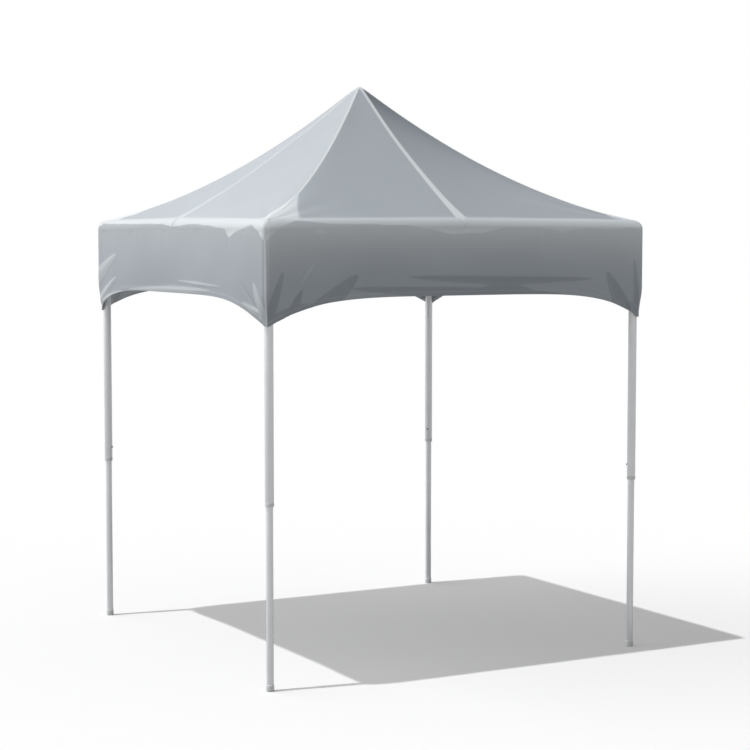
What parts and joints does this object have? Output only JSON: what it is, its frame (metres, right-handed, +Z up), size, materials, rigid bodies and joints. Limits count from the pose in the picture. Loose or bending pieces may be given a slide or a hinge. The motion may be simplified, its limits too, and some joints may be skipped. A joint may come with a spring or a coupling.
{
  "type": "pop-up canopy tent",
  "caption": "Square pop-up shelter: a folding scissor frame on telescoping legs under a peaked cloth canopy with an arched valance.",
  "frame": {"origin": "on the ground, straight under the peak", "axes": "+Z up; the front side faces -Y and the right side +X"},
  "size_m": [2.036, 2.036, 2.73],
  "materials": {
    "canopy_cloth": "woven coated polyester, matt grey",
    "leg_tube": "satin anodised tube",
    "scissor_bar": "satin anodised flat bar",
    "bracket": "moulded glass-filled nylon",
    "button": "moulded nylon"
  },
  "bodies": {
    "frame_centre": {"upper_hub": "bracket", "canopy": "canopy_cloth"},
    "pole": {"lower_hub": "bracket", "peak_pole": "leg_tube"},
    "front_inner_bar_1": {"front_inner_bar_1": "scissor_bar"},
    "front_inner_bar_2": {"front_inner_bar_2": "scissor_bar"},
    "front_upper_bracket": {"front_upper_bracket": "bracket"},
    "front_lower_bracket": {"front_lower_bracket": "bracket"},
    "front_bar_1": {"front_bar_1": "scissor_bar"},
    "front_bar_2": {"front_bar_2": "scissor_bar"},
    "front_right_leg": {"front_right_outer_leg": "leg_tube", "front_right_top_bracket": "bracket"},
    "front_right_slider": {"front_right_slider": "bracket"},
    "front_right_inner_leg": {"front_right_inner_leg": "leg_tube"},
    "front_right_slider_button": {"front_right_slider_button": "button"},
    "front_right_leg_button": {"front_right_leg_button": "button"},
    "front_bar_3": {"front_bar_3": "scissor_bar"},
    "front_bar_4": {"front_bar_4": "scissor_bar"},
    "right_inner_bar_1": {"right_inner_bar_1": "scissor_bar"},
    "right_inner_bar_2": {"right_inner_bar_2": "scissor_bar"},
    "right_upper_bracket": {"right_upper_bracket": "bracket"},
    "right_lower_bracket": {"right_lower_bracket": "bracket"},
    "right_bar_1": {"right_bar_1": "scissor_bar"},
    "right_bar_2": {"right_bar_2": "scissor_bar"},
    "back_right_leg": {"back_right_outer_leg": "leg_tube", "back_right_top_bracket": "bracket"},
    "back_right_slider": {"back_right_slider": "bracket"},
    "back_right_inner_leg": {"back_right_inner_leg": "leg_tube"},
    "back_right_slider_button": {"back_right_slider_button": "button"},
    "back_right_leg_button": {"back_right_leg_button": "button"},
    "right_bar_3": {"right_bar_3": "scissor_bar"},
    "right_bar_4": {"right_bar_4": "scissor_bar"},
    "back_inner_bar_1": {"back_inner_bar_1": "scissor_bar"},
    "back_inner_bar_2": {"back_inner_bar_2": "scissor_bar"},
    "back_upper_bracket": {"back_upper_bracket": "bracket"},
    "back_lower_bracket": {"back_lower_bracket": "bracket"},
    "back_bar_1": {"back_bar_1": "scissor_bar"},
    "back_bar_2": {"back_bar_2": "scissor_bar"},
    "back_left_leg": {"back_left_outer_leg": "leg_tube", "back_left_top_bracket": "bracket"},
    "back_left_slider": {"back_left_slider": "bracket"},
    "back_left_inner_leg": {"back_left_inner_leg": "leg_tube"},
    "back_left_slider_button": {"back_left_slider_button": "button"},
    "back_left_leg_button": {"back_left_leg_button": "button"},
    "back_bar_3": {"back_bar_3": "scissor_bar"},
    "back_bar_4": {"back_bar_4": "scissor_bar"},
    "left_inner_bar_1": {"left_inner_bar_1": "scissor_bar"},
    "left_inner_bar_2": {"left_inner_bar_2": "scissor_bar"},
    "left_upper_bracket": {"left_upper_bracket": "bracket"},
    "left_lower_bracket": {"left_lower_bracket": "bracket"},
    "left_bar_1": {"left_bar_1": "scissor_bar"},
    "left_bar_2": {"left_bar_2": "scissor_bar"},
    "front_left_leg": {"front_left_outer_leg": "leg_tube", "front_left_top_bracket": "bracket"},
    "front_left_slider": {"front_left_slider": "bracket"},
    "front_left_inner_leg": {"front_left_inner_leg": "leg_tube"},
    "front_left_slider_button": {"front_left_slider_button": "button"},
    "front_left_leg_button": {"front_left_leg_button": "button"},
    "left_bar_3": {"left_bar_3": "scissor_bar"},
    "left_bar_4": {"left_bar_4": "scissor_bar"}
  },
  "joints": [
    {"name": "frame_fold", "type": "hinge", "parent": "frame_centre", "child": "front_inner_bar_1", "pos_m": [0, -0.042, 1.995], "axis": [1, 0, 0], "range_deg": [0, 71]},
    {"name": "front_inner_crossing", "type": "hinge", "parent": "front_inner_bar_1", "child": "front_inner_bar_2", "pos_m": [0, -0.4895, 1.875], "axis": [1, 0, 0], "range_deg": [-142, 0]},
    {"name": "front_upper_bracket_pin", "type": "hinge", "parent": "front_inner_bar_2", "child": "front_upper_bracket", "pos_m": [0, -0.937, 1.995], "axis": [1, 0, 0], "range_deg": [0, 71]},
    {"name": "front_lower_bracket_pin", "type": "hinge", "parent": "front_inner_bar_1", "child": "front_lower_bracket", "pos_m": [0, -0.937, 1.755], "axis": [1, 0, 0], "range_deg": [-71, 0]},
    {"name": "pole_pin", "type": "hinge", "parent": "front_inner_bar_2", "child": "pole", "pos_m": [0, -0.042, 1.755], "axis": [1, 0, 0], "range_deg": [0, 71]},
    {"name": "front_bar_1_pin", "type": "hinge", "parent": "front_upper_bracket", "child": "front_bar_1", "pos_m": [0.03, -0.97, 1.995], "axis": [0, 1, 0], "range_deg": [0, 71]},
    {"name": "front_bar_2_crossing", "type": "hinge", "parent": "front_bar_1", "child": "front_bar_2", "pos_m": [0.4775, -0.97, 1.875], "axis": [0, 1, 0], "range_deg": [-142, 0]},
    {"name": "front_right_leg_pin", "type": "hinge", "parent": "front_bar_2", "child": "front_right_leg", "pos_m": [0.925, -0.97, 1.995], "axis": [0, 1, 0], "range_deg": [0, 71]},
    {"name": "front_right_slider_pin", "type": "hinge", "parent": "front_bar_1", "child": "front_right_slider", "pos_m": [0.925, -0.97, 1.755], "axis": [0, 1, 0], "range_deg": [-71, 0]},
    {"name": "front_bar_3_pin", "type": "hinge", "parent": "front_upper_bracket", "child": "front_bar_3", "pos_m": [-0.03, -0.97, 1.995], "axis": [0, -1, 0], "range_deg": [0, 71]},
    {"name": "front_bar_4_crossing", "type": "hinge", "parent": "front_bar_3", "child": "front_bar_4", "pos_m": [-0.4775, -0.97, 1.875], "axis": [0, -1, 0], "range_deg": [-142, 0]},
    {"name": "right_inner_fold", "type": "hinge", "parent": "frame_centre", "child": "right_inner_bar_1", "pos_m": [0.042, 0, 1.995], "axis": [0, 1, 0], "range_deg": [0, 71]},
    {"name": "right_inner_crossing", "type": "hinge", "parent": "right_inner_bar_1", "child": "right_inner_bar_2", "pos_m": [0.4895, 0, 1.875], "axis": [0, 1, 0], "range_deg": [-142, 0]},
    {"name": "right_upper_bracket_pin", "type": "hinge", "parent": "right_inner_bar_2", "child": "right_upper_bracket", "pos_m": [0.937, 0, 1.995], "axis": [0, 1, 0], "range_deg": [0, 71]},
    {"name": "right_lower_bracket_pin", "type": "hinge", "parent": "right_inner_bar_1", "child": "right_lower_bracket", "pos_m": [0.937, 0, 1.755], "axis": [0, 1, 0], "range_deg": [-71, 0]},
    {"name": "right_bar_1_pin", "type": "hinge", "parent": "right_upper_bracket", "child": "right_bar_1", "pos_m": [0.97, 0.03, 1.995], "axis": [-1, 0, 0], "range_deg": [0, 71]},
    {"name": "right_bar_2_crossing", "type": "hinge", "parent": "right_bar_1", "child": "right_bar_2", "pos_m": [0.97, 0.4775, 1.875], "axis": [-1, 0, 0], "range_deg": [-142, 0]},
    {"name": "back_right_leg_pin", "type": "hinge", "parent": "right_bar_2", "child": "back_right_leg", "pos_m": [0.97, 0.925, 1.995], "axis": [-1, 0, 0], "range_deg": [0, 71]},
    {"name": "back_right_slider_pin", "type": "hinge", "parent": "right_bar_1", "child": "back_right_slider", "pos_m": [0.97, 0.925, 1.755], "axis": [-1, 0, 0], "range_deg": [-71, 0]},
    {"name": "right_bar_3_pin", "type": "hinge", "parent": "right_upper_bracket", "child": "right_bar_3", "pos_m": [0.97, -0.03, 1.995], "axis": [1, 0, 0], "range_deg": [0, 71]},
    {"name": "right_bar_4_crossing", "type": "hinge", "parent": "right_bar_3", "child": "right_bar_4", "pos_m": [0.97, -0.4775, 1.875], "axis": [1, 0, 0], "range_deg": [-142, 0]},
    {"name": "back_inner_fold", "type": "hinge", "parent": "frame_centre", "child": "back_inner_bar_1", "pos_m": [0, 0.042, 1.995], "axis": [-1, 0, 0], "range_deg": [0, 71]},
    {"name": "back_inner_crossing", "type": "hinge", "parent": "back_inner_bar_1", "child": "back_inner_bar_2", "pos_m": [0, 0.4895, 1.875], "axis": [-1, 0, 0], "range_deg": [-142, 0]},
    {"name": "back_upper_bracket_pin", "type": "hinge", "parent": "back_inner_bar_2", "child": "back_upper_bracket", "pos_m": [0, 0.937, 1.995], "axis": [-1, 0, 0], "range_deg": [0, 71]},
    {"name": "back_lower_bracket_pin", "type": "hinge", "parent": "back_inner_bar_1", "child": "back_lower_bracket", "pos_m": [0, 0.937, 1.755], "axis": [-1, 0, 0], "range_deg": [-71, 0]},
    {"name": "back_bar_1_pin", "type": "hinge", "parent": "back_upper_bracket", "child": "back_bar_1", "pos_m": [-0.03, 0.97, 1.995], "axis": [0, -1, 0], "range_deg": [0, 71]},
    {"name": "back_bar_2_crossing", "type": "hinge", "parent": "back_bar_1", "child": "back_bar_2", "pos_m": [-0.4775, 0.97, 1.875], "axis": [0, -1, 0], "range_deg": [-142, 0]},
    {"name": "back_left_leg_pin", "type": "hinge", "parent": "back_bar_2", "child": "back_left_leg", "pos_m": [-0.925, 0.97, 1.995], "axis": [0, -1, 0], "range_deg": [0, 71]},
    {"name": "back_left_slider_pin", "type": "hinge", "parent": "back_bar_1", "child": "back_left_slider", "pos_m": [-0.925, 0.97, 1.755], "axis": [0, -1, 0], "range_deg": [-71, 0]},
    {"name": "back_bar_3_pin", "type": "hinge", "parent": "back_upper_bracket", "child": "back_bar_3", "pos_m": [0.03, 0.97, 1.995], "axis": [0, 1, 0], "range_deg": [0, 71]},
    {"name": "back_bar_4_crossing", "type": "hinge", "parent": "back_bar_3", "child": "back_bar_4", "pos_m": [0.4775, 0.97, 1.875], "axis": [0, 1, 0], "range_deg": [-142, 0]},
    {"name": "left_inner_fold", "type": "hinge", "parent": "frame_centre", "child": "left_inner_bar_1", "pos_m": [-0.042, 0, 1.995], "axis": [0, -1, 0], "range_deg": [0, 71]},
    {"name": "left_inner_crossing", "type": "hinge", "parent": "left_inner_bar_1", "child": "left_inner_bar_2", "pos_m": [-0.4895, 0, 1.875], "axis": [0, -1, 0], "range_deg": [-142, 0]},
    {"name": "left_upper_bracket_pin", "type": "hinge", "parent": "left_inner_bar_2", "child": "left_upper_bracket", "pos_m": [-0.937, 0, 1.995], "axis": [0, -1, 0], "range_deg": [0, 71]},
    {"name": "left_lower_bracket_pin", "type": "hinge", "parent": "left_inner_bar_1", "child": "left_lower_bracket", "pos_m": [-0.937, 0, 1.755], "axis": [0, -1, 0], "range_deg": [-71, 0]},
    {"name": "left_bar_1_pin", "type": "hinge", "parent": "left_upper_bracket", "child": "left_bar_1", "pos_m": [-0.97, -0.03, 1.995], "axis": [1, 0, 0], "range_deg": [0, 71]},
    {"name": "left_bar_2_crossing", "type": "hinge", "parent": "left_bar_1", "child": "left_bar_2", "pos_m": [-0.97, -0.4775, 1.875], "axis": [1, 0, 0], "range_deg": [-142, 0]},
    {"name": "front_left_leg_pin", "type": "hinge", "parent": "left_bar_2", "child": "front_left_leg", "pos_m": [-0.97, -0.925, 1.995], "axis": [1, 0, 0], "range_deg": [0, 71]},
    {"name": "front_left_slider_pin", "type": "hinge", "parent": "left_bar_1", "child": "front_left_slider", "pos_m": [-0.97, -0.925, 1.755], "axis": [1, 0, 0], "range_deg": [-71, 0]},
    {"name": "left_bar_3_pin", "type": "hinge", "parent": "left_upper_bracket", "child": "left_bar_3", "pos_m": [-0.97, 0.03, 1.995], "axis": [-1, 0, 0], "range_deg": [0, 71]},
    {"name": "left_bar_4_crossing", "type": "hinge", "parent": "left_bar_3", "child": "left_bar_4", "pos_m": [-0.97, 0.4775, 1.875], "axis": [-1, 0, 0], "range_deg": [-142, 0]},
    {"name": "front_right_leg_extension", "type": "slide", "parent": "front_right_leg", "child": "front_right_inner_leg", "axis": [0, 0, 1], "range_m": [0, 0.7]},
    {"name": "front_right_slider_button_press", "type": "slide", "parent": "front_right_slider", "child": "front_right_slider_button", "axis": [-0.7071, 0.7071, 0], "range_m": [0, 0.004], "stiffness_N_per_m": 400},
    {"name": "front_right_leg_button_press", "type": "slide", "parent": "front_right_leg", "child": "front_right_leg_button", "axis": [0.7071, -0.7071, 0], "range_m": [0, 0.003], "stiffness_N_per_m": 400},
    {"name": "back_right_leg_extension", "type": "slide", "parent": "back_right_leg", "child": "back_right_inner_leg", "axis": [0, 0, 1], "range_m": [0, 0.7]},
    {"name": "back_right_slider_button_press", "type": "slide", "parent": "back_right_slider", "child": "back_right_slider_button", "axis": [-0.7071, -0.7071, 0], "range_m": [0, 0.004], "stiffness_N_per_m": 400},
    {"name": "back_right_leg_button_press", "type": "slide", "parent": "back_right_leg", "child": "back_right_leg_button", "axis": [0.7071, 0.7071, 0], "range_m": [0, 0.003], "stiffness_N_per_m": 400},
    {"name": "back_left_leg_extension", "type": "slide", "parent": "back_left_leg", "child": "back_left_inner_leg", "axis": [0, 0, 1], "range_m": [0, 0.7]},
    {"name": "back_left_slider_button_press", "type": "slide", "parent": "back_left_slider", "child": "back_left_slider_button", "axis": [0.7071, -0.7071, 0], "range_m": [0, 0.004], "stiffness_N_per_m": 400},
    {"name": "back_left_leg_button_press", "type": "slide", "parent": "back_left_leg", "child": "back_left_leg_button", "axis": [-0.7071, 0.7071, 0], "range_m": [0, 0.003], "stiffness_N_per_m": 400},
    {"name": "front_left_leg_extension", "type": "slide", "parent": "front_left_leg", "child": "front_left_inner_leg", "axis": [0, 0, 1], "range_m": [0, 0.7]},
    {"name": "front_left_slider_button_press", "type": "slide", "parent": "front_left_slider", "child": "front_left_slider_button", "axis": [0.7071, 0.7071, 0], "range_m": [0, 0.004], "stiffness_N_per_m": 400},
    {"name": "front_left_leg_button_press", "type": "slide", "parent": "front_left_leg", "child": "front_left_leg_button", "axis": [-0.7071, -0.7071, 0], "range_m": [0, 0.003], "stiffness_N_per_m": 400}
  ],
  "couplings": [
    {"joint": "front_inner_crossing", "follows": "frame_fold", "ratio": -2},
    {"joint": "front_upper_bracket_pin", "follows": "frame_fold", "ratio": 1},
    {"joint": "front_lower_bracket_pin", "follows": "frame_fold", "ratio": -1},
    {"joint": "pole_pin", "follows": "frame_fold", "ratio": 1},
    {"joint": "front_bar_1_pin", "follows": "frame_fold", "ratio": 1},
    {"joint": "front_bar_2_crossing", "follows": "frame_fold", "ratio": -2},
    {"joint": "front_right_leg_pin", "follows": "frame_fold", "ratio": 1},
    {"joint": "front_right_slider_pin", "follows": "frame_fold", "ratio": -1},
    {"joint": "front_bar_3_pin", "follows": "frame_fold", "ratio": 1},
    {"joint": "front_bar_4_crossing", "follows": "frame_fold", "ratio": -2},
    {"joint": "right_inner_fold", "follows": "frame_fold", "ratio": 1},
    {"joint": "right_inner_crossing", "follows": "frame_fold", "ratio": -2},
    {"joint": "right_upper_bracket_pin", "follows": "frame_fold", "ratio": 1},
    {"joint": "right_lower_bracket_pin", "follows": "frame_fold", "ratio": -1},
    {"joint": "right_bar_1_pin", "follows": "frame_fold", "ratio": 1},
    {"joint": "right_bar_2_crossing", "follows": "frame_fold", "ratio": -2},
    {"joint": "back_right_leg_pin", "follows": "frame_fold", "ratio": 1},
    {"joint": "back_right_slider_pin", "follows": "frame_fold", "ratio": -1},
    {"joint": "right_bar_3_pin", "follows": "frame_fold", "ratio": 1},
    {"joint": "right_bar_4_crossing", "follows": "frame_fold", "ratio": -2},
    {"joint": "back_inner_fold", "follows": "frame_fold", "ratio": 1},
    {"joint": "back_inner_crossing", "follows": "frame_fold", "ratio": -2},
    {"joint": "back_upper_bracket_pin", "follows": "frame_fold", "ratio": 1},
    {"joint": "back_lower_bracket_pin", "follows": "frame_fold", "ratio": -1},
    {"joint": "back_bar_1_pin", "follows": "frame_fold", "ratio": 1},
    {"joint": "back_bar_2_crossing", "follows": "frame_fold", "ratio": -2},
    {"joint": "back_left_leg_pin", "follows": "frame_fold", "ratio": 1},
    {"joint": "back_left_slider_pin", "follows": "frame_fold", "ratio": -1},
    {"joint": "back_bar_3_pin", "follows": "frame_fold", "ratio": 1},
    {"joint": "back_bar_4_crossing", "follows": "frame_fold", "ratio": -2},
    {"joint": "left_inner_fold", "follows": "frame_fold", "ratio": 1},
    {"joint": "left_inner_crossing", "follows": "frame_fold", "ratio": -2},
    {"joint": "left_upper_bracket_pin", "follows": "frame_fold", "ratio": 1},
    {"joint": "left_lower_bracket_pin", "follows": "frame_fold", "ratio": -1},
    {"joint": "left_bar_1_pin", "follows": "frame_fold", "ratio": 1},
    {"joint": "left_bar_2_crossing", "follows": "frame_fold", "ratio": -2},
    {"joint": "front_left_leg_pin", "follows": "frame_fold", "ratio": 1},
    {"joint": "front_left_slider_pin", "follows": "frame_fold", "ratio": -1},
    {"joint": "left_bar_3_pin", "follows": "frame_fold", "ratio": 1},
    {"joint": "left_bar_4_crossing", "follows": "frame_fold", "ratio": -2}
  ]
}
